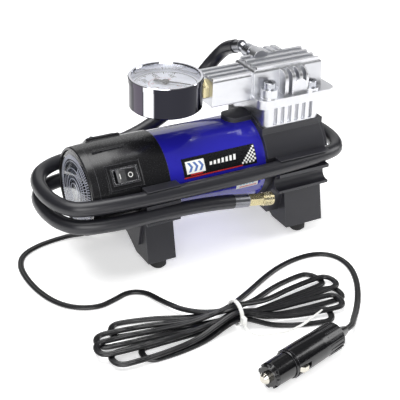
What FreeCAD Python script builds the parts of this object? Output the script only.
import FreeCAD, Part
import math
import os

os.makedirs("parts", exist_ok=True)

# Driving dimensions, millimetres. +X runs along the motor axis from the lamp to the pump,
# -Y is the side with the power switch, +Z is up. The origin is on the floor under the middle.

# Motor axis, tube and front cap
axis_z = 59.7
nose_x = -103.0
bezel_len = 6.0
cap_len = 55.0
tube_len = 81.3
tube_r = 33.8
tube_wall = 1.2
cap_r = 34.5
cap_nose_r = 33.8
cap_wall = 2.2
fit_gap = 0.05
spigot_len = 16.0

# Lamp
lens_r = 31.1
lens_proud = 1.0
lens_thick = 1.8
lens_dome = 1.8
led_r = 1.5
led_ring_r = 5.6
led_count = 6

# Rocker switches
switch_len = 20.8
switch_wide = 12.5
switch_face_n = 36.4
switch_deep = 14.0
rocker_tilt = 8.0
power_switch_x = -76.4
power_switch_turn = 54.3
lamp_switch_x = -74.5
lamp_switch_turn = -40.0

# Motor
can_to_tube = 3.8
can_r = tube_r - can_to_tube
can_wall = 1.4
can_len = 61.0
can_start = 12.0
shaft_r = 2.5
bearing_r = 8.0
bearing_len = 5.0
running_gap = 0.03
magnet_thick = 6.0
air_gap = 0.7
armature_len = 34.0
commutator_r = 7.5
fan_to_tube = 9.8
fan_r = tube_r - fan_to_tube

# Pump housing
house_len = 51.7
house_r = 37.5
house_low_r = 34.0
cavity_r = 30.5
seat_rise = 31.8
seat_half_y = 26.0
seat_wall_rise = 24.0
cover_thick = 2.5

# Crank and piston
crank_throw = 6.0
rod_span = 30.5
rod_thick = 6.0
crank_pin_r = 3.0
wrist_pin_r = 2.0
bore_r = 17.0
piston_height = 16.0

# Cylinder block and head
block_half_x = 25.0
block_half_y = 25.3
block_height = 15.0
block_corner_r = 5.0
valve_plate_thick = 1.0
flange_thick = 7.0
flange_over = 13.0
flange_half_y = 27.5
head_half_y = 14.0
head_height = 20.0
arm_half_y = 12.0
arm_len = 37.0
arm_height = 20.5
rib_height = 1.9
rib_wide = 2.6
screw_half_x = 18.5
screw_half_y = 20.0
tall_boss = 7.0
low_boss = 2.2
screw_r = 2.5
slot_count = 6
slot_wide = 3.4
slot_pitch = 6.3
slot_deep = 2.8
arch_pitch = 6.3
arch_wide = 3.0
near_arches = 4
near_arch_first = -5.2
near_arch_y = 23.3
near_arch_drop = 1.7
near_arch_r = 7.0
far_arches = 3
far_arch_first = -2.3
far_arch_y = 26.5
far_arch_drop = -2.5
far_arch_r = 5.0
pad_x = 72.6
pad_r = 6.2
pad_rise = 11.2

# Gauge
gauge_x = -29.7
gauge_r = 27.7
gauge_deep = 24.0
gauge_top_rise = 78.7
stem_rise = 61.8
stem_r = 4.9
dial_drop = 8.2
pointer_rest = -45.0

# Hose and its channels
hose_r = 5.5
hose_y = 41.8
hose_high = 4.9
hose_low = -9.1
channel_gap = 0.2
lip_half_y = 43.5
lip_over = 0.6
lip_under = 2.0
hose_droop = 5.0
left_loop_x = -93.0
loop_before_end = 12.0
left_loop_r = 34.5
right_loop_r = 36.0
hose_droop_x = -25.0
hose_end_x = 5.6

# Stands and feet
front_stand_x = (-66.0, -39.0)
front_leg_x = (-63.5, -40.5)
rear_stand_x = (46.0, 91.0)
rear_leg_x = (57.5, 91.0)
leg_foot_z = 8.0
leg_foot_y = (18.5, 39.5)
leg_top_y = 33.2
leg_top_z = 40.0
arch_top_z = 21.0
foot_r = 6.3
foot_y = 32.0

# Chuck
ferrule_len = 13.0
ferrule_r = 5.2
chuck_body_len = 12.4
chuck_across = 9.2
chuck_nut_len = 9.5
chuck_nut_r = 5.0
chuck_bore_r = 3.9
start_ferrule_len = 9.0
start_ferrule_r = 4.8

# Cord and plug
cord_r = 2.3
gland_x = -76.0
gland_turn = -153.0
gland_out = 50.0
plug_r = 10.2
plug_len = 72.0
plug_step = 47.0
relief_len = 12.5

# Places worked out from the sizes above
seam_x = nose_x + bezel_len
tube_x0 = seam_x + cap_len
tube_x1 = tube_x0 + tube_len
house_x1 = tube_x1 + house_len
spigot_r = tube_r - tube_wall - fit_gap
can_x0 = tube_x0 + can_start
can_x1 = can_x0 + can_len
pump_x = tube_x1 + 1.7 + block_half_x
seat_z = axis_z + seat_rise
block_top = seat_z + block_height
plate_z = block_top
flange_z = plate_z + valve_plate_thick
flange_top = flange_z + flange_thick
arm_x0 = tube_x1 - 36.3
arm_x1 = arm_x0 + arm_len
arm_z0 = axis_z + stem_rise - arm_height / 2 - 0.8
head_x0 = arm_x1 - 3.0
head_x1 = pump_x + block_half_x + 6.5
crank_z = axis_z + crank_throw
wrist_z = crank_z + rod_span
stem_z = axis_z + stem_rise
gauge_top = axis_z + gauge_top_rise
high_z = axis_z + hose_high
low_z = axis_z + hose_low
lip_top = high_z + hose_r + channel_gap + lip_over
lip_low = low_z - hose_r - channel_gap - lip_under
rear_end_x = house_x1 + cover_thick
right_loop_x = rear_end_x - loop_before_end


def vec(x, y, z):
    return FreeCAD.Vector(x, y, z)


def cyl_x(r, x0, x1, y=0.0, z=axis_z):
    return Part.makeCylinder(r, x1 - x0, vec(x0, y, z), vec(1, 0, 0))


def cyl_y(r, y0, y1, x, z):
    return Part.makeCylinder(r, y1 - y0, vec(x, y0, z), vec(0, 1, 0))


def cyl_z(r, z0, z1, x, y=0.0):
    return Part.makeCylinder(r, z1 - z0, vec(x, y, z0), vec(0, 0, 1))


def pipe_x(ro, ri, x0, x1, y=0.0, z=axis_z):
    return cyl_x(ro, x0, x1, y, z).cut(cyl_x(ri, x0 - 1, x1 + 1, y, z))


def box(x0, x1, y0, y1, z0, z1):
    return Part.makeBox(x1 - x0, y1 - y0, z1 - z0, vec(x0, y0, z0))


def turned_x(profile):
    # profile holds (x, radius) corners of a section turned about the motor axis
    corners = [vec(x, 0, axis_z + r) for x, r in profile]
    face = Part.Face(Part.makePolygon(corners + [corners[0]]))
    return face.revolve(vec(0, 0, axis_z), vec(1, 0, 0), 360)


def turned_z(profile, x, y):
    # profile holds (radius, z) corners of a section turned about an upright axis
    corners = [vec(x + r, y, z) for r, z in profile]
    face = Part.Face(Part.makePolygon(corners + [corners[0]]))
    return face.revolve(vec(x, y, 0), vec(0, 0, 1), 360)


def prism(corners, along):
    face = Part.Face(Part.makePolygon(corners + [corners[0]]))
    return face.extrude(along)


def section_along_x(points, x0, x1):
    # points are (y, z) corners of a section
    return prism([vec(x0, y, z) for y, z in points], vec(x1 - x0, 0, 0))


def fuse_all(shapes):
    body = shapes[0]
    for other in shapes[1:]:
        body = body.fuse(other)
    return body.removeSplitter()


def cut_all(body, tools):
    for tool in tools:
        body = body.cut(tool)
    return body


def both_sides(shape):
    return [shape, shape.mirror(vec(0, 0, 0), vec(0, 1, 0))]


def rounded_plate(x0, x1, half_y, z0, z1, r):
    block = box(x0, x1, -half_y, half_y, z0, z1)
    uprights = [e for e in block.Edges if abs(e.tangentAt(e.FirstParameter).z) > 0.99]
    return block.makeFillet(r, uprights)


def hexagon_x(across, x0, x1, y, z):
    corner = across / math.sqrt(3)
    points = []
    for i in range(6):
        a = math.radians(60 * i + 30)
        points.append((y + corner * math.cos(a), z + corner * math.sin(a)))
    return section_along_x(points, x0, x1)


def on_cap(shape, turn):
    # a shape built upright over the motor axis is turned about that axis
    turned = shape.copy()
    turned.rotate(vec(0, 0, axis_z), vec(1, 0, 0), turn)
    return turned


def save(name, shapes):
    group = shapes if isinstance(shapes, list) else [shapes]
    solids = []
    for shape in group:
        solids += shape.Solids
    result = solids[0] if len(solids) == 1 else Part.makeCompound(solids)
    result.exportStep("parts/" + name + ".step")
    good = all(s.isValid() and s.Volume > 0 for s in solids)
    volume = round(sum(s.Volume for s in solids), 1)
    print(name, len(solids), "solids", volume, "mm3", "valid" if good else "BAD")


# Route of a cord or hose: straight runs joined by arcs that touch both runs

def route_path(points, name):
    edges = []
    radii = []
    start = points[0]
    for i in range(1, len(points) - 1):
        before = points[i - 1] - points[i]
        after = points[i + 1] - points[i]
        shorter = min(before.Length, after.Length)
        u = FreeCAD.Vector(before).normalize()
        w = FreeCAD.Vector(after).normalize()
        half_turn = (math.pi - math.acos(max(-1.0, min(1.0, u.dot(w))))) / 2
        setback = 0.45 * shorter
        r = setback / math.tan(half_turn)
        radii.append(r)
        a = points[i] + u * setback
        b = points[i] + w * setback
        middle = (u + w).normalize()
        centre = points[i] + middle * (r / math.cos(half_turn))
        crown = centre - middle * r
        edges.append(Part.LineSegment(start, a).toShape())
        edges.append(Part.Arc(a, crown, b).toShape())
        start = b
    edges.append(Part.LineSegment(start, points[-1]).toShape())
    wire = Part.Wire(edges)
    print(name, "length", round(wire.Length, 1), "least radius", round(min(radii), 1))
    print("  radii", [round(r, 1) for r in radii])
    return wire


def swept_tube(wire, r, start, direction):
    disc = Part.Face(Part.Wire(Part.makeCircle(r, start, direction)))
    tube = wire.makePipe(disc)
    body = tube.Solids[0] if tube.Solids else Part.Solid(Part.Shell(tube.Faces))
    wanted = math.pi * r * r * wire.Length
    print("  tube volume", round(body.Volume, 1), "section times length", round(wanted, 1))
    return body


def cord_tube(points, r, name):
    route = [vec(*p) for p in points]
    return swept_tube(route_path(route, name), r, route[0], route[1] - route[0])


# Front cap and lamp

def front_cap():
    inner = cap_nose_r - cap_wall
    wall = turned_x([(seam_x, cap_nose_r), (seam_x + 15, cap_r), (tube_x0, cap_r), (tube_x0, spigot_r),
                     (tube_x0 + spigot_len, spigot_r), (tube_x0 + spigot_len, can_r + fit_gap),
                     (tube_x0 - 1, can_r + fit_gap), (tube_x0 - 4, cap_r - cap_wall),
                     (seam_x + 15, cap_r - cap_wall), (seam_x, inner)])
    shapes = [wall]
    for x, turn in ((power_switch_x, power_switch_turn), (lamp_switch_x, lamp_switch_turn)):
        shapes.append(on_cap(switch_boss(x), turn))
    rib = fuse_all([box(-92.0, -69.0, -1.1, 1.1, axis_z + cap_r - 1, axis_z + cap_r + 0.9),
                    cyl_z(1.1, axis_z + cap_r - 1, axis_z + cap_r + 0.9, -92.0),
                    cyl_z(1.1, axis_z + cap_r - 1, axis_z + cap_r + 0.9, -69.0)])
    shapes.append(on_cap(rib, 14.0))
    body = fuse_all(shapes)
    for x, turn in ((power_switch_x, power_switch_turn), (lamp_switch_x, lamp_switch_turn)):
        half_x = switch_len / 2 - 0.8 + 0.1
        half_y = switch_wide / 2 - 0.75 + 0.1
        hole = box(x - half_x, x + half_x, -half_y, half_y, axis_z + 20, axis_z + 50)
        body = body.cut(on_cap(hole, turn))
    gland_hole = cyl_z(4.6, axis_z + 25, axis_z + 40, gland_x)
    return body.cut(on_cap(gland_hole, gland_turn))


def switch_boss(x):
    boss = box(x - 13.5, x + 13.5, -10.0, 10.0, axis_z + cap_r - cap_wall - 0.6, axis_z + switch_face_n - 1.0)
    top = [e for e in boss.Edges if e.BoundBox.ZMin > axis_z + switch_face_n - 1.1]
    return boss.makeChamfer(0.8, top)


def lamp_bezel():
    return turned_x([(nose_x, lens_r + 0.1), (nose_x, cap_nose_r - 1.0), (nose_x + 0.9, cap_nose_r - 0.4),
                     (seam_x, cap_nose_r), (seam_x, cap_nose_r - cap_wall - fit_gap),
                     (seam_x + 3, cap_nose_r - cap_wall - fit_gap), (seam_x + 3, lens_r - 1.6),
                     (nose_x + 2.8, lens_r - 1.6), (nose_x + 2.8, lens_r + 0.1)])


def lamp_lens():
    back = nose_x + 2.8
    rim = back - lens_thick
    apex = nose_x - lens_proud
    top = vec(apex, 0, axis_z)
    middle = vec(apex + (rim - apex) * 0.27, 0, axis_z + lens_r * 0.52)
    edge = vec(rim, 0, axis_z + lens_r)
    face_edges = [Part.Arc(top, middle, edge).toShape(),
                  Part.LineSegment(edge, vec(back, 0, axis_z + lens_r)).toShape(),
                  Part.LineSegment(vec(back, 0, axis_z + lens_r), vec(back, 0, axis_z)).toShape(),
                  Part.LineSegment(vec(back, 0, axis_z), top).toShape()]
    return Part.Face(Part.Wire(face_edges)).revolve(vec(0, 0, axis_z), vec(1, 0, 0), 360)


def lamp_reflector():
    front = nose_x + 2.8
    return turned_x([(front, lens_r - 1.7), (front + 1.5, lens_r - 1.7), (front + 16.2, 10.3),
                     (front + 16.2, 9.0), (front + 15.3, 9.0), (front, lens_r - 2.9)])


def lamp_board():
    back = nose_x + 19.0
    return cyl_x(11.5, back, back + 1.6)


def lamp_leds():
    back = nose_x + 19.0
    places = [(0.0, axis_z)]
    for i in range(led_count):
        a = math.radians(360 / led_count * i)
        places.append((led_ring_r * math.cos(a), axis_z + led_ring_r * math.sin(a)))
    leds = []
    for y, z in places:
        dome = Part.makeSphere(led_r, vec(back - 2.5, y, z))
        leds.append(fuse_all([cyl_x(led_r, back - 2.5, back, y, z), dome]))
    return leds


# Rocker switches

def switch_frame(x):
    top = axis_z + switch_face_n
    half_x = switch_len / 2
    half_y = switch_wide / 2
    flange = box(x - half_x, x + half_x, -half_y, half_y, top - 1.0, top)
    low = top - switch_deep
    body = box(x - half_x + 0.8, x + half_x - 0.8, -half_y + 0.75, half_y - 0.75, low, top - 0.5)
    frame = fuse_all([flange, body])
    well_x = half_x - 1.6
    well_y = half_y - 1.65
    well = box(x - well_x, x + well_x, -well_y, well_y, low + 1.5, top + 1)
    pivot = cyl_y(1.05, -half_y + 1.0, half_y - 1.0, x, top - 4.9)
    return frame.cut(well).cut(pivot)


def rocker(x):
    top = axis_z + switch_face_n
    pivot_z = top - 4.9
    half_y = switch_wide / 2 - 1.85
    points = [(-7.9, 0.2), (-5.2, -0.35), (0, -0.8), (5.2, -0.35), (7.9, 0.2), (7.3, -3.4), (2.5, -6.9),
              (-2.5, -6.9), (-7.3, -3.4)]
    corners = [vec(x + u, -half_y, top + n) for u, n in points]
    key = prism(corners, vec(0, 2 * half_y, 0))
    key = fuse_all([key, cyl_y(1.0, -half_y - 0.7, half_y + 0.7, x, pivot_z)])
    key.rotate(vec(x, 0, pivot_z), vec(0, 1, 0), rocker_tilt)
    return key


def terminals(x):
    low = axis_z + switch_face_n - switch_deep
    return [box(x + u - 0.4, x + u + 0.4, -2.4, 2.4, low - 6.0, low) for u in (-4.0, 4.0)]


# Motor

def motor_can():
    end_wall = 2.0
    hub_x = can_x1 - bearing_len - 1
    return turned_x([(can_x0, can_r), (can_x1, can_r), (can_x1, bearing_r), (hub_x, bearing_r),
                     (hub_x, bearing_r + 1.8), (can_x1 - end_wall, bearing_r + 1.8),
                     (can_x1 - end_wall, can_r - can_wall), (can_x0, can_r - can_wall)])


def motor_magnets():
    ring = pipe_x(can_r - can_wall, can_r - can_wall - magnet_thick, can_x0 + 14, can_x0 + 52)
    parts = []
    for side in (-1, 1):
        wedge = section_along_x([(0, axis_z), (40, axis_z + side * 23), (40, axis_z + side * 60),
                                 (-40, axis_z + side * 60), (-40, axis_z + side * 23)], can_x0, can_x1)
        parts.append(ring.common(wedge))
    return parts


def motor_end_plate():
    r = can_r - can_wall - fit_gap
    plate = turned_x([(can_x0, bearing_r), (can_x0, r), (can_x0 + 3, r), (can_x0 + 3, bearing_r + 1.8),
                      (can_x0 + bearing_len, bearing_r + 1.8), (can_x0 + bearing_len, bearing_r)])
    shapes = [plate]
    for side in both_sides(box(can_x0 + 2, can_x0 + 12.5, 8.6, 22.0, axis_z - 4.2, axis_z + 4.2)):
        shapes.append(side)
    body = fuse_all(shapes)
    for hole in both_sides(box(can_x0 + 6.4, can_x0 + 11.6, 5.0, 20.0, axis_z - 3.1, axis_z + 3.1)):
        body = body.cut(hole)
    return body


def carbon_brushes():
    return both_sides(box(can_x0 + 6.5, can_x0 + 11.5, commutator_r + 0.3, 17.0, axis_z - 3.0, axis_z + 3.0))


def shaft_bearings():
    inner = shaft_r + running_gap
    return [pipe_x(bearing_r, inner, can_x0, can_x0 + bearing_len),
            pipe_x(bearing_r, inner, can_x1 - bearing_len, can_x1)]


def motor_shaft():
    return cyl_x(shaft_r, can_x0 - 4, crank_disc_x()[1])


def armature_core():
    r = can_r - can_wall - magnet_thick - air_gap
    x0 = can_x0 + 16
    body = pipe_x(r, shaft_r, x0, x0 + armature_len)
    for i in range(12):
        slot = fuse_all([box(x0 - 1, x0 + armature_len + 1, -0.8, 0.8, axis_z + 17, axis_z + 30),
                         cyl_x(2.6, x0 - 1, x0 + armature_len + 1, 0.0, axis_z + 15)])
        body = body.cut(on_cap(slot, 30 * i + 15))
    return body


def commutator():
    return pipe_x(commutator_r, shaft_r, can_x0 + 6.0, can_x0 + 14.0)


def cooling_fan():
    x0 = can_x1 + 2.0
    x1 = tube_x1 - 1.3
    parts = [pipe_x(6.0, shaft_r, x0, x1)]
    for i in range(8):
        blade = box(x0 + 0.6, x1 - 0.6, -0.6, 0.6, axis_z + 5, axis_z + fan_r)
        parts.append(on_cap(blade, 45 * i))
    return fuse_all(parts)


# Pump housing

def housing_outline(x0, x1):
    low = cyl_x(house_low_r, x0, x1)
    high = cyl_x(house_r, x0, x1).common(box(x0, x1, -60, 60, lip_top + 0.1, seat_z + 40))
    seat = box(x0, x1, -seat_half_y, seat_half_y, axis_z + 12, seat_z)
    return fuse_all([low, high, seat])


def loop_relief():
    # room for the hose where it starts to bend round behind the housing, both sides
    bend_r = 0.9 * right_loop_r
    x = right_loop_x + 0.1 * right_loop_r * math.tan(math.radians(22.5))
    ring = Part.makeTorus(bend_r, hose_r + channel_gap + 0.15, vec(x, bend_r - hose_y, high_z), vec(0, 0, 1))
    bend = ring.common(box(x - 3, x + 30, -hose_y - 20, -24, high_z - 20, high_z + 20))
    return both_sides(bend)


def rear_housing():
    step_x = tube_x1 + 1.6
    body = housing_outline(tube_x1, house_x1)
    body = body.cut(box(step_x, house_x1 + 1, -60, 60, seat_z, seat_z + 60))
    spigot = pipe_x(spigot_r, can_r - 2.0, can_x1, tube_x1 + 1)
    tongue = fuse_all([box(tube_x1 - 12, tube_x1 + 1, -8.5, 8.5, axis_z + 25, axis_z + 45),
                       cyl_z(8.5, axis_z + 25, axis_z + 45, tube_x1 - 12)])
    tongue = tongue.common(cyl_x(house_r, tube_x1 - 30, tube_x1 + 1))
    tongue = tongue.cut(cyl_x(tube_r + 0.1, tube_x1 - 30, tube_x1))
    body = fuse_all([body, spigot, tongue])
    body = body.cut(cyl_x(cavity_r, tube_x1 + 4.7, house_x1 + 1))
    bosses = [on_cap(cyl_x(3.2, house_x1 - 28, house_x1, 0.0, axis_z + 29), 90 * i + 45) for i in range(4)]
    body = fuse_all([body] + bosses)
    for i in range(4):
        body = body.cut(on_cap(cyl_x(1.3, house_x1 - 14, house_x1 + 1, 0.0, axis_z + 29), 90 * i + 45))
    body = body.cut(cyl_x(10.0, tube_x1 - 1, tube_x1 + 6))
    for i in range(6):
        window = cyl_x(4.5, tube_x1 - 1, tube_x1 + 6, 0.0, axis_z + 19)
        body = body.cut(on_cap(window, 60 * i))
    body = body.cut(cyl_z(bore_r + 2.0 + fit_gap, axis_z + 15, seat_z + 1, pump_x))
    for x, y in head_screw_places():
        body = body.cut(cyl_z(screw_r, seat_z - 6, seat_z + 1, x, y))
    return body


def rear_cover():
    x0 = house_x1
    body = housing_outline(x0, x0 + cover_thick)
    body = body.cut(box(x0 - 1, x0 + 9, -60, 60, seat_z, seat_z + 60))
    lip = pipe_x(cavity_r - fit_gap, cavity_r - 2.0, x0 - 2.0, x0 + 0.5)
    for i in range(4):
        lip = lip.cut(on_cap(cyl_x(3.3, x0 - 3, x0, 0.0, axis_z + 29), 90 * i + 45))
    body = fuse_all([body, lip])
    for i in range(5):
        z = axis_z - 16 + 8 * i
        half = 15.0 - 2.5 * abs(i - 2)
        body = body.cut(box(x0 - 1, x0 + 4, -half, half, z - 1.3, z + 1.3))
    for i in range(4):
        body = body.cut(on_cap(cyl_x(1.6, x0 - 3, x0 + 4, 0.0, axis_z + 29), 90 * i + 45))
    return body


def housing_screws():
    screws = []
    for i in range(4):
        head = cyl_x(2.8, rear_end_x, rear_end_x + 1.8, 0.0, axis_z + 29)
        head = head.cut(box(rear_end_x + 1.0, rear_end_x + 3, -2.2, 2.2, axis_z + 28.6, axis_z + 29.4))
        shank = cyl_x(1.3, house_x1 - 12, rear_end_x + 0.5, 0.0, axis_z + 29)
        screws.append(on_cap(fuse_all([head, shank]), 90 * i + 45))
    return screws


# Crank and piston

def crank_disc_x():
    return (pump_x - 12.0, pump_x - rod_thick / 2 - 1.0)


def crank_disc():
    x0, x1 = crank_disc_x()
    disc = cyl_x(15.0, x0, x1).cut(box(x0 - 1, x1 + 1, -20, 20, crank_z + 5, crank_z + 20))
    for side in both_sides(box(x0 - 1, x1 + 1, 6.5, 20, axis_z + 1, axis_z + 20)):
        disc = disc.cut(side)
    pin = cyl_x(crank_pin_r, x1 - 1, pump_x + rod_thick / 2 + 1.5, 0.0, crank_z)
    return fuse_all([disc, pin]).cut(cyl_x(shaft_r, x0 - 1, x1))


def connecting_rod():
    x0 = pump_x - rod_thick / 2
    x1 = pump_x + rod_thick / 2
    big = cyl_x(7.0, x0, x1, 0.0, crank_z)
    small = cyl_x(4.4, x0, x1, 0.0, wrist_z)
    shank = box(x0 + 1, x1 - 1, -3.0, 3.0, crank_z + 4, wrist_z - 2)
    body = fuse_all([big, small, shank])
    body = body.cut(cyl_x(crank_pin_r + running_gap, x0 - 1, x1 + 1, 0.0, crank_z))
    return body.cut(cyl_x(wrist_pin_r, x0 - 1, x1 + 1, 0.0, wrist_z))


def wrist_pin():
    return cyl_x(wrist_pin_r, pump_x - 7.5, pump_x + 7.5, 0.0, wrist_z)


def piston():
    top = block_top - 0.8
    r = bore_r - 0.06
    low = top - piston_height
    return turned_z([(0, top), (r, top), (r, top - 2.0), (r - 1.6, top - 2.0), (r - 1.6, top - 3.6),
                     (r, top - 3.6), (r, low), (r - 2.1, low), (r - 2.1, wrist_z + 5.0),
                     (0, wrist_z + 5.0)], pump_x, 0.0)


def piston_seal():
    top = block_top - 0.8
    return turned_z([(bore_r - 1.66, top - 2.0), (bore_r - 0.01, top - 2.0), (bore_r - 0.01, top - 3.6),
                     (bore_r - 1.66, top - 3.6)], pump_x, 0.0)


# Cylinder block and head

def head_screw_places():
    return [(pump_x + sx * screw_half_x, sy * screw_half_y) for sx in (-1, 1) for sy in (-1, 1)]


def boss_rise(x):
    return tall_boss if x < pump_x else low_boss


def block_plate(z0, z1):
    return rounded_plate(pump_x - block_half_x, pump_x + block_half_x, block_half_y, z0, z1, block_corner_r)


def cut_screw_holes(body, z0, z1, clearance):
    for x, y in head_screw_places():
        body = body.cut(cyl_z(screw_r + clearance, z0, z1, x, y))
    return body


def cylinder_block():
    body = block_plate(seat_z, block_top)
    first = pump_x - slot_pitch * (slot_count - 1) / 2 + 0.4
    for i in range(slot_count):
        x = first + slot_pitch * i
        slot = box(x - slot_wide / 2, x + slot_wide / 2, block_half_y - slot_deep, block_half_y + 1,
                   seat_z + 1.2, block_top + 1)
        for side in both_sides(slot):
            body = body.cut(side)
    for i in range(5):
        y = -14.0 + 7.0 * i
        end_x = pump_x + block_half_x
        body = body.cut(box(end_x - 3, end_x + 1, y - 1.7, y + 1.7, seat_z + 1.2, block_top + 1))
    body = fuse_all([body, cyl_z(bore_r + 2.0, axis_z + 19, seat_z + 1, pump_x)])
    body = body.cut(cyl_z(bore_r, axis_z + 10, block_top + 1, pump_x))
    return cut_screw_holes(body, seat_z - 1, block_top + 1, 0.2)


def valve_plate():
    body = block_plate(plate_z, flange_z)
    for y in (-6.0, 6.0):
        body = body.cut(cyl_z(2.0, plate_z - 1, flange_z + 1, pump_x, y))
    return cut_screw_holes(body, plate_z - 1, flange_z + 1, 0.2)


def valve_reeds():
    inlet = box(pump_x - 9, pump_x + 4, -9.0, -3.0, plate_z - 0.25, plate_z)
    outlet = box(pump_x - 4, pump_x + 9, 3.0, 9.0, flange_z, flange_z + 0.25)
    return [inlet, outlet]


def arch_fin(x, side, y_out, drop, corner_r):
    # an upright web from the side of the head box to the flange, rounded at its top corner
    y0 = head_half_y - 2.0
    top = flange_top + head_height - drop
    points = [(side * y0, flange_top - 2.0), (side * y0, top)]
    for i in range(7):
        a = math.radians(90 * i / 6)
        y = y_out - corner_r + corner_r * math.sin(a)
        points.append((side * y, top - corner_r + corner_r * math.cos(a)))
    points.append((side * y_out, flange_top - 2.0))
    return section_along_x(points, x - arch_wide / 2, x + arch_wide / 2)


def arch_fins():
    fins = []
    for i in range(near_arches):
        x = pump_x + near_arch_first + arch_pitch * i
        fins.append(arch_fin(x, -1, near_arch_y, near_arch_drop, near_arch_r))
    for i in range(far_arches):
        x = pump_x + far_arch_first + arch_pitch * i
        fins.append(arch_fin(x, 1, far_arch_y, far_arch_drop, far_arch_r))
    return fins


def valve_pad():
    # a flat faced boss with a round top on the near side, under the middle fins
    z = flange_top + pad_rise - pad_r
    block = box(pad_x - pad_r, pad_x + pad_r, -near_arch_y - 0.4, -head_half_y + 2, flange_top - 1, z)
    return fuse_all([block, cyl_y(pad_r, -near_arch_y - 0.4, -head_half_y + 2, pad_x, z)])


def head_box():
    # the raised air chamber over the valve plate, narrower at the top
    z0 = flange_top - 2.0
    z1 = flange_top + head_height
    points = [(head_half_y + 1.5, z0), (head_half_y, z1), (-head_half_y, z1), (-head_half_y - 1.5, z0)]
    body = section_along_x(points, head_x0, head_x1)
    top = [e for e in body.Edges if e.BoundBox.ZMin > z1 - 0.1]
    return body.makeFillet(2.5, top)


def head_arm():
    body = box(arm_x0, head_x0 + 8, -arm_half_y, arm_half_y, arm_z0, arm_z0 + arm_height)
    long_edges = [e for e in body.Edges if abs(e.tangentAt(e.FirstParameter).x) > 0.99]
    return body.makeFillet(1.2, long_edges)


def top_ribs():
    arm_top = arm_z0 + arm_height
    head_top = flange_top + head_height
    ribs = []
    for k in (-1.5, -0.5, 0.5, 1.5):
        y_arm = k * 6.6
        y_head = k * 7.9
        jog_x = head_x0 + 1.0
        half = rib_wide / 2
        ribs.append(box(arm_x0 + 0.6, jog_x, y_arm - half, y_arm + half, arm_top - 1, arm_top + rib_height))
        ribs.append(box(jog_x + 2, head_x1 - 2, y_head - half, y_head + half, head_top - 1,
                        head_top + rib_height))
        corners = [vec(jog_x - 0.1, y_arm - half, arm_top - 1), vec(jog_x + 3, y_head - half, arm_top - 1),
                   vec(jog_x + 3, y_head + half, arm_top - 1), vec(jog_x - 0.1, y_arm + half, arm_top - 1)]
        ribs.append(prism(corners, vec(0, 0, rib_height + 1)))
    return ribs


def outlet_place():
    return (pump_x - 10.0, head_half_y, flange_top + 19.5)


def cylinder_head():
    end_x = pump_x + block_half_x + flange_over
    flange = rounded_plate(arm_x1 - 4.0, end_x, flange_half_y, flange_z, flange_top, 7.0)
    shapes = [flange, head_box(), head_arm(), valve_pad()] + top_ribs() + arch_fins()
    x, y, z = outlet_place()
    shapes.append(cyl_y(6.5, y - 6.0, y + 6.0, x, z))
    for sx, sy in head_screw_places():
        shapes.append(cyl_z(6.6, flange_top - 2, flange_top + boss_rise(sx), sx, sy))
    body = fuse_all(shapes)
    for sx, sy in head_screw_places():
        low = flange_top + boss_rise(sx)
        body = body.cut(cyl_z(5.4, low, flange_top + 40, sx, sy))
        body = body.cut(cyl_z(screw_r + 0.2, flange_z - 1, low + 1, sx, sy))
    chamber = box(pump_x - 15, pump_x + 15, -11.0, 11.0, flange_z - 1, flange_top + 14)
    bore = cyl_x(2.0, arm_x0 - 1, pump_x, 0.0, stem_z)
    thread = cyl_x(stem_r, arm_x0 - 1, arm_x0 + 11, 0.0, stem_z)
    outlet = cyl_y(4.0, 9.0, y + 9, x, z)
    passage = cyl_z(1.5, flange_top + 10, z, x, 10.5)
    return body.cut(chamber).cut(bore).cut(thread).cut(outlet).cut(passage)


def head_screws():
    screws = []
    for x, y in head_screw_places():
        low = flange_top + boss_rise(x)
        head = cyl_z(4.6, low, low + 5.0, x, y)
        rim = [e for e in head.Edges if e.BoundBox.ZMin > low + 4.9]
        head = head.makeFillet(0.6, rim)
        corners = []
        for i in range(6):
            a = math.radians(60 * i)
            corners.append(vec(x + 2.3 * math.cos(a), y + 2.3 * math.sin(a), low + 2.2))
        socket = prism(corners, vec(0, 0, 4))
        shank = cyl_z(screw_r, seat_z - 5, low + 0.5, x, y)
        screws.append(fuse_all([head.cut(socket), shank]))
    return screws


# Gauge

def gauge_stem():
    parts = [cyl_x(stem_r, gauge_x + gauge_r - 4.0, gauge_x + gauge_r + 1, 0.0, stem_z),
             hexagon_x(14.0, gauge_x + gauge_r, arm_x0 - 0.1, 0.0, stem_z),
             cyl_x(stem_r, arm_x0 - 1, arm_x0 + 10, 0.0, stem_z)]
    return fuse_all(parts).cut(cyl_x(1.8, gauge_x, arm_x0 + 20, 0.0, stem_z))


def gauge_case():
    r = gauge_r - 0.5
    low = gauge_top - gauge_deep
    body = turned_z([(0, low), (r - 1, low), (r, low + 1), (r, gauge_top - 4.0), (r - 1.2, gauge_top - 4.0),
                     (r - 1.2, low + 1.4), (0, low + 1.4)], gauge_x, 0.0)
    return body.cut(cyl_x(stem_r, gauge_x + 10, gauge_x + 40, 0.0, stem_z))


def gauge_bezel():
    r = gauge_r
    top = gauge_top
    return turned_z([(r - 1.7, top - 4.0), (r, top - 4.0), (r, top - 0.5), (r - 0.5, top),
                     (r - 2.2, top), (r - 2.6, top - 1.0), (r - 1.7, top - 1.0)], gauge_x, 0.0)


def gauge_lens():
    return cyl_z(gauge_r - 1.75, gauge_top - 2.9, gauge_top - 1.1, gauge_x)


def gauge_dial():
    z = gauge_top - dial_drop
    return cyl_z(gauge_r - 1.8, z - 0.6, z, gauge_x).cut(cyl_z(1.1, z - 2, z + 2, gauge_x))


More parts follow.
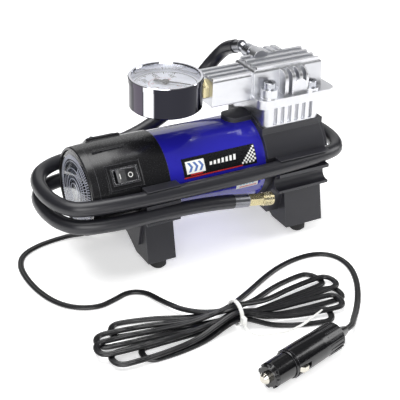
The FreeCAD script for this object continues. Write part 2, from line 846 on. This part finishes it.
def gauge_tube():
    # a curved pressure tube that starts at a socket block behind the stem
    z0 = stem_z - 2.6
    ring = cyl_z(19.0, z0, z0 + 5.2, gauge_x).cut(cyl_z(16.8, z0 - 1, z0 + 6, gauge_x))
    gap = box(gauge_x, gauge_x + 40, 3.0, 40, z0 - 1, z0 + 6)
    block = box(gauge_x + 14, gauge_x + gauge_r - 4.0, -4.0, 4.0, z0 - 1.0, z0 + 6.2)
    return fuse_all([ring.cut(gap), block])


def gauge_pointer():
    z = gauge_top - dial_drop + 1.6
    outline = [(-9, -1.5), (-7, -1.9), (0, -1.0), (19, -0.3), (19, 0.3), (0, 1.0), (-7, 1.9), (-9, 1.5)]
    needle = prism([vec(gauge_x + u, v, z) for u, v in outline], vec(0, 0, 0.6))
    hub = cyl_z(2.6, z - 0.6, z + 1.2, gauge_x)
    spindle = cyl_z(1.0, z - 6.0, z, gauge_x)
    body = fuse_all([needle, hub, spindle])
    body.rotate(vec(gauge_x, 0, 0), vec(0, 0, 1), pointer_rest)
    return body


# Stands and feet

def stand(block_x, leg_x, saddle_r):
    x0, x1 = block_x
    block = section_along_x([(0, arch_top_z), (27.0, arch_top_z - 2), (33.0, lip_low), (lip_half_y, lip_low),
                             (lip_half_y, lip_top), (0, lip_top)], x0, x1)
    leg = section_along_x([(0, arch_top_z - 3), (leg_foot_y[0], leg_foot_z), (leg_foot_y[1], leg_foot_z),
                           (leg_top_y, leg_top_z), (10.0, leg_top_z), (0, arch_top_z + 3)],
                          leg_x[0], leg_x[1])
    body = fuse_all(both_sides(block) + both_sides(leg))
    body = body.cut(cyl_x(saddle_r, x0 - 1, x1 + 1))
    body = body.cut(box(x0 - 1, x1 + 1, -saddle_r, saddle_r, axis_z, axis_z + 60))
    groove_r = hose_r + channel_gap
    for z in (high_z, low_z):
        groove = fuse_all([cyl_x(groove_r, x0 - 1, x1 + 1, hose_y, z),
                           box(x0 - 1, x1 + 1, hose_y, hose_y + 9, z - groove_r, z + groove_r)])
        for side in both_sides(groove):
            body = body.cut(side)
    for side in both_sides(box(leg_x[0] + 3, leg_x[1] - 3, 24.0, leg_foot_y[1] - 6.0, leg_foot_z + 3, 24.0)):
        body = body.cut(side)
    return body


def rubber_feet():
    feet = []
    for x in ((front_leg_x[0] + front_leg_x[1]) / 2, (rear_leg_x[0] + rear_leg_x[1]) / 2 - 1.5):
        profile = [(0, 0), (foot_r - 2.0, 0), (foot_r, 2.0), (foot_r, leg_foot_z), (0, leg_foot_z)]
        pad = turned_z(profile, x, foot_y)
        feet += both_sides(pad)
    return feet


# Hose, fittings and chuck

hose_drop = [(53.4, 41.5, 133.0), (52.4, 51.0, 129.6), (50.6, 58.5, 123.3), (44.8, 63.5, 113.9),
             (33.5, 63.0, 102.9), (18.5, 59.5, 90.8), (3.0, 54.5, 83.0), (-12.0, 51.8, 77.0),
             (-30.0, 50.8, 70.0), (-50.0, 50.0, 66.0), (-72.0, 46.5, 64.0)]


def hose_points():
    left = loop_corners(left_loop_x, left_loop_r, -1)
    right = loop_corners(right_loop_x, right_loop_r, 1)
    points = list(hose_drop)
    points += [(px, py, high_z) for px, py in reversed(left)]
    points += [(px, py, high_z) for px, py in right]
    points += [(21.0, hose_y, high_z), (-14.0, hose_y, low_z)]
    points += [(px, py, low_z) for px, py in reversed(left)]
    points += [(hose_droop_x, -hose_y, low_z), hose_end()]
    return points


def loop_corners(x, r, side):
    # corners round a half turn from -Y to +Y; side -1 bulges to -X and +1 to +X
    lean = r * math.tan(math.radians(22.5))
    flat = hose_y - r
    return [(x + side * lean, -hose_y), (x + side * r, -flat - lean),
            (x + side * r, flat + lean), (x + side * lean, hose_y)]


def hose_end():
    return (hose_end_x, -hose_y, low_z - hose_droop)


def chuck_line():
    start = vec(*hose_end())
    direction = (start - vec(hose_droop_x, -hose_y, low_z)).normalize()
    return start, direction


def along(start, direction, r, a, b):
    return Part.makeCylinder(r, b - a, start + direction * a, direction)


def hose_end_ferrule():
    start, direction = chuck_line()
    return along(start, direction, ferrule_r, 0, ferrule_len)


def chuck_body():
    start, direction = chuck_line()
    a = ferrule_len
    b = a + chuck_body_len
    stub = b + chuck_nut_len - 5.5
    hexagon = []
    for i in range(6):
        turn = math.radians(60 * i + 30)
        corner = chuck_across / math.sqrt(3)
        hexagon.append(vec(0, corner * math.cos(turn), corner * math.sin(turn)))
    grip = prism(hexagon, vec(chuck_body_len, 0, 0))
    grip.rotate(vec(0, 0, 0), vec(0, 1, 0), math.degrees(math.atan2(-direction.z, direction.x)))
    grip.translate(start + direction * a)
    body = fuse_all([grip, along(start, direction, 3.4, b - 1, stub)])
    return body.cut(along(start, direction, 1.2, a - 1, stub + 1))


def chuck_nut():
    start, direction = chuck_line()
    a = ferrule_len + chuck_body_len + 0.1
    b = a + chuck_nut_len
    body = along(start, direction, chuck_nut_r, a, b)
    body = body.cut(along(start, direction, 3.45, a - 1, b + 1))
    return body.cut(along(start, direction, chuck_bore_r, b - 5.0, b + 1))


def ferrule_line():
    end = vec(*hose_drop[0])
    return end, (end - vec(*hose_drop[1])).normalize()


def hose_fitting():
    # an elbow screwed into the far side of the head
    x, y, z = outlet_place()
    end, back = ferrule_line()
    collar = end + back * start_ferrule_len
    knee = vec(x, y + 13.0, z)
    parts = [cyl_y(4.0, 9.0, y + 8.0, x, z), cyl_y(5.6, y + 6.2, knee.y, x, z), Part.makeSphere(5.6, knee),
             Part.makeCylinder(4.0, (collar - knee).Length, knee, collar - knee)]
    keep = along(end, back, 40.0, start_ferrule_len, 80.0)
    return fuse_all(parts).common(keep)


def hose_ferrule():
    end, back = ferrule_line()
    return along(end, back, start_ferrule_r, 0, start_ferrule_len)


# Cord, hank, tie and plug

def gland_end():
    turn = math.radians(gland_turn)
    return vec(gland_x, -gland_out * math.sin(turn), axis_z + gland_out * math.cos(turn))


def cord_gland():
    x = gland_x
    low = axis_z + cap_r - cap_wall - 2.0
    skin = axis_z + cap_r
    parts = [cyl_z(6.0, low, skin - cap_wall - 0.8, x), cyl_z(4.55, low, skin + 1.0, x),
             cyl_z(6.2, skin + 0.3, skin + 2.0, x),
             Part.makeCone(4.6, 3.2, gland_out - cap_r - 1.5, vec(x, 0, skin + 1.5), vec(0, 0, 1))]
    return on_cap(fuse_all(parts), gland_turn)


lead_points = [(-84.0, 30.5, 3.6), (-94.5, 36.2, 2.4), (-109.0, 35.4, 2.4), (-123.5, 32.8, 2.4),
               (-137.5, 26.0, 2.4), (-145.0, 13.5, 2.4), (-147.2, -3.0, 2.4), (-146.0, -24.0, 2.4),
               (-140.5, -44.0, 2.4), (-130.5, -57.5, 2.4), (-115.0, -64.5, 2.4), (-101.5, -61.2, 2.4),
               (-88.0, -56.3, 2.4), (-77.0, -62.5, 2.4), (-73.6, -76.5, 2.8), (-75.0, -92.5, 5.2)]
tail_points = [(-46.5, -114.0, 6.6), (-27.5, -104.6, 3.4), (-9.0, -95.0, 2.4), (11.0, -84.0, 2.4),
               (29.0, -76.5, 2.4), (47.0, -72.8, 2.4), (64.5, -74.0, 2.4), (75.0, -83.5, 2.4),
               (76.5, -99.5, 2.4), (69.5, -118.0, 2.4), (58.5, -135.0, 2.4), (46.5, -149.5, 2.8),
               (34.8, -161.5, 4.6), (27.0, -170.2, 6.8)]
hank_outline = [(-141.0, -120.0), (-136.0, -98.0), (-121.0, -83.5), (-101.0, -82.0), (-74.0, -89.5),
                (-52.0, -106.0), (-38.0, -114.5), (-24.0, -110.5), (-8.0, -101.0), (14.0, -94.0),
                (38.0, -92.5),
                (51.0, -99.0), (54.5, -114.0), (49.0, -134.0), (36.0, -151.0), (18.0, -155.0), (-8.0, -145.5),
                (-24.0, -136.0), (-38.0, -132.5), (-54.0, -133.0), (-80.0, -133.0), (-108.0, -135.0),
                (-130.0, -138.0), (-139.0, -133.0)]
hank_height = 13.0
hank_shoulder = 8.5
hank_inset = 3.5
neck_r = 8.2
tie_x = -38.0
tie_y = -124.0
tie_rise = 9.5
tie_wide = 1.6
plug_rear = (8.2, -177.0, 10.3)
plug_turn = 195.3


def cord_lead():
    start = gland_end()
    first = (start.x, start.y, start.z)
    turn = math.radians(gland_turn)
    out = (start.x, start.y - 7.5 * math.sin(turn), start.z + 7.5 * math.cos(turn))
    return cord_tube([first, out] + lead_points, cord_r, "cord_lead")


def cord_tail():
    return cord_tube(tail_points + [plug_cord_end()], cord_r, "cord_tail")


def tie_line():
    return vec(tie_x, tie_y, tie_rise), vec(1, 0, 0)


def cord_hank():
    # the outer shape of the folded turns: wide and low at both ends, round under the tie
    outline = Part.makePolygon([vec(x, y, 0.1) for x, y in hank_outline + [hank_outline[0]]])
    low = Part.Face(outline).extrude(vec(0, 0, hank_shoulder - 0.1))
    inner = outline.makeOffset2D(-hank_inset)
    inner.translate(vec(0, 0, hank_shoulder - 1.0))
    top = Part.Face(inner).extrude(vec(0, 0, hank_height - hank_shoulder + 1.0))
    centre, direction = tie_line()
    neck = along(centre, direction, neck_r, -9.0, 9.0)
    gap = box(tie_x - tie_wide, tie_x + tie_wide, tie_y - 40, tie_y + 40, -1, 40)
    return fuse_all([low, top]).cut(gap).fuse(neck)


def plug_cord_end():
    return (plug_rear[0] + 9.8, plug_rear[1] + 3.0, 8.6)


def on_plug(shape):
    # the plug is built along +X from its rear face at the origin, then laid on the floor
    placed = shape.copy()
    placed.rotate(vec(0, 0, 0), vec(0, 0, 1), plug_turn)
    placed.translate(vec(*plug_rear))
    return placed


def plug_turned(profile):
    corners = [vec(a, 0, r) for a, r in profile]
    face = Part.Face(Part.makePolygon(corners + [corners[0]]))
    return face.revolve(vec(0, 0, 0), vec(1, 0, 0), 360)


def plug_body():
    nose_r = plug_r - 1.3
    end = plug_len - 5.0
    body = plug_turned([(0, 0), (0, plug_r - 2.2), (1.2, plug_r - 1.0), (20.0, plug_r - 0.2), (34.0, plug_r),
                        (plug_step, plug_r), (plug_step, nose_r), (end - 3.0, nose_r - 0.3),
                        (end, nose_r - 2.0), (end, 0)])
    body = body.cut(Part.makeCylinder(4.6, end - 1.5 - 48.0, vec(48.0, 0, 0), vec(1, 0, 0)))
    body = body.cut(Part.makeCylinder(4.0, 3.0, vec(end - 2.0, 0, 0), vec(1, 0, 0)))
    for turn in (0, 180):
        slot = Part.makeBox(13.0, 10.0, 4.4, vec(36.0, 5.3, -2.2))
        slot.rotate(vec(0, 0, 0), vec(1, 0, 0), turn)
        body = body.cut(slot)
    return on_plug(body)


def plug_strain_relief():
    end = vec(*plug_cord_end())
    direction = (vec(*tail_points[-1]) - end).normalize()
    cone = Part.makeCone(5.6, 3.0, relief_len, end - direction * relief_len, direction)
    return cone.cut(on_plug(Part.makeCylinder(20.0, 20.0, vec(0, 0, 0), vec(1, 0, 0))))


def plug_tip():
    end = plug_len - 5.0
    tip = plug_turned([(end - 12.0, 0), (end - 12.0, 4.4), (end - 1.6, 4.4), (end - 1.6, 3.9),
                       (plug_len - 2.5, 3.9), (plug_len - 0.4, 2.4), (plug_len, 0)])
    return on_plug(tip)


def plug_contact(side):
    corners = [vec(37.2, 6.8, -1.9), vec(40.5, 11.8, -1.9), vec(44.5, 11.8, -1.9), vec(47.8, 6.8, -1.9)]
    strip = prism(corners, vec(0, 0, 3.8))
    if side < 0:
        strip = strip.mirror(vec(0, 0, 0), vec(0, 1, 0))
    return on_plug(strip)


def cable_tie():
    centre, direction = tie_line()
    ring = along(centre, direction, neck_r + 1.1, -1.3, 1.3).cut(along(centre, direction, neck_r, -3, 3))
    side = tie_y - neck_r
    lock = box(tie_x - 1.55, tie_x + 1.55, side - 4.3, side - 0.6, tie_rise - 2.4, tie_rise + 2.4)
    return fuse_all([ring, lock])


save("motor_tube", pipe_x(tube_r, tube_r - tube_wall, tube_x0, tube_x1))
save("front_cap", front_cap())
save("lamp_bezel", lamp_bezel())
save("lamp_lens", lamp_lens())
save("lamp_reflector", lamp_reflector())
save("lamp_board", lamp_board())
save("lamp_leds", lamp_leds())
save("power_switch_frame", on_cap(switch_frame(power_switch_x), power_switch_turn))
save("power_rocker", on_cap(rocker(power_switch_x), power_switch_turn))
save("lamp_switch_frame", on_cap(switch_frame(lamp_switch_x), lamp_switch_turn))
save("lamp_rocker", on_cap(rocker(lamp_switch_x), lamp_switch_turn))
save("switch_terminals", [on_cap(t, power_switch_turn) for t in terminals(power_switch_x)]
     + [on_cap(t, lamp_switch_turn) for t in terminals(lamp_switch_x)])
save("motor_can", motor_can())
save("motor_magnets", motor_magnets())
save("motor_end_plate", motor_end_plate())
save("carbon_brushes", carbon_brushes())
save("shaft_bearings", shaft_bearings())
save("motor_shaft", motor_shaft())
save("armature_core", armature_core())
save("commutator", commutator())
save("cooling_fan", cooling_fan())
save("crank_disc", crank_disc())
save("connecting_rod", connecting_rod())
save("wrist_pin", wrist_pin())
save("piston", piston())
save("piston_seal", piston_seal())
save("rear_housing", cut_all(rear_housing(), loop_relief()))
save("rear_cover", cut_all(rear_cover(), loop_relief()))
save("housing_screws", housing_screws())
save("cylinder_block", cylinder_block())
save("valve_plate", valve_plate())
save("valve_reeds", valve_reeds())
save("cylinder_head", cylinder_head())
save("head_screws", head_screws())
save("gauge_stem", gauge_stem())
save("gauge_case", gauge_case())
save("gauge_bezel", gauge_bezel())
save("gauge_lens", gauge_lens())
save("gauge_dial", gauge_dial())
save("gauge_tube", gauge_tube())
save("gauge_pointer", gauge_pointer())
save("front_stand", stand(front_stand_x, front_leg_x, cap_r + 0.1))
save("rear_stand", cut_all(stand(rear_stand_x, rear_leg_x, house_low_r + 0.1), loop_relief()))
save("rubber_feet", rubber_feet())
save("air_hose", cord_tube(hose_points(), hose_r, "air_hose"))
save("hose_fitting", hose_fitting())
save("hose_ferrule", hose_ferrule())
save("hose_end_ferrule", hose_end_ferrule())
save("chuck_body", chuck_body())
save("chuck_nut", chuck_nut())
save("cord_gland", cord_gland())
save("cord_lead", cord_lead())
save("cord_hank", cord_hank())
save("cord_tail", cord_tail())
save("cable_tie", cable_tie())
save("plug_body", plug_body())
save("plug_strain_relief", plug_strain_relief())
save("plug_tip", plug_tip())
save("plug_contact_left", plug_contact(1))
save("plug_contact_right", plug_contact(-1))
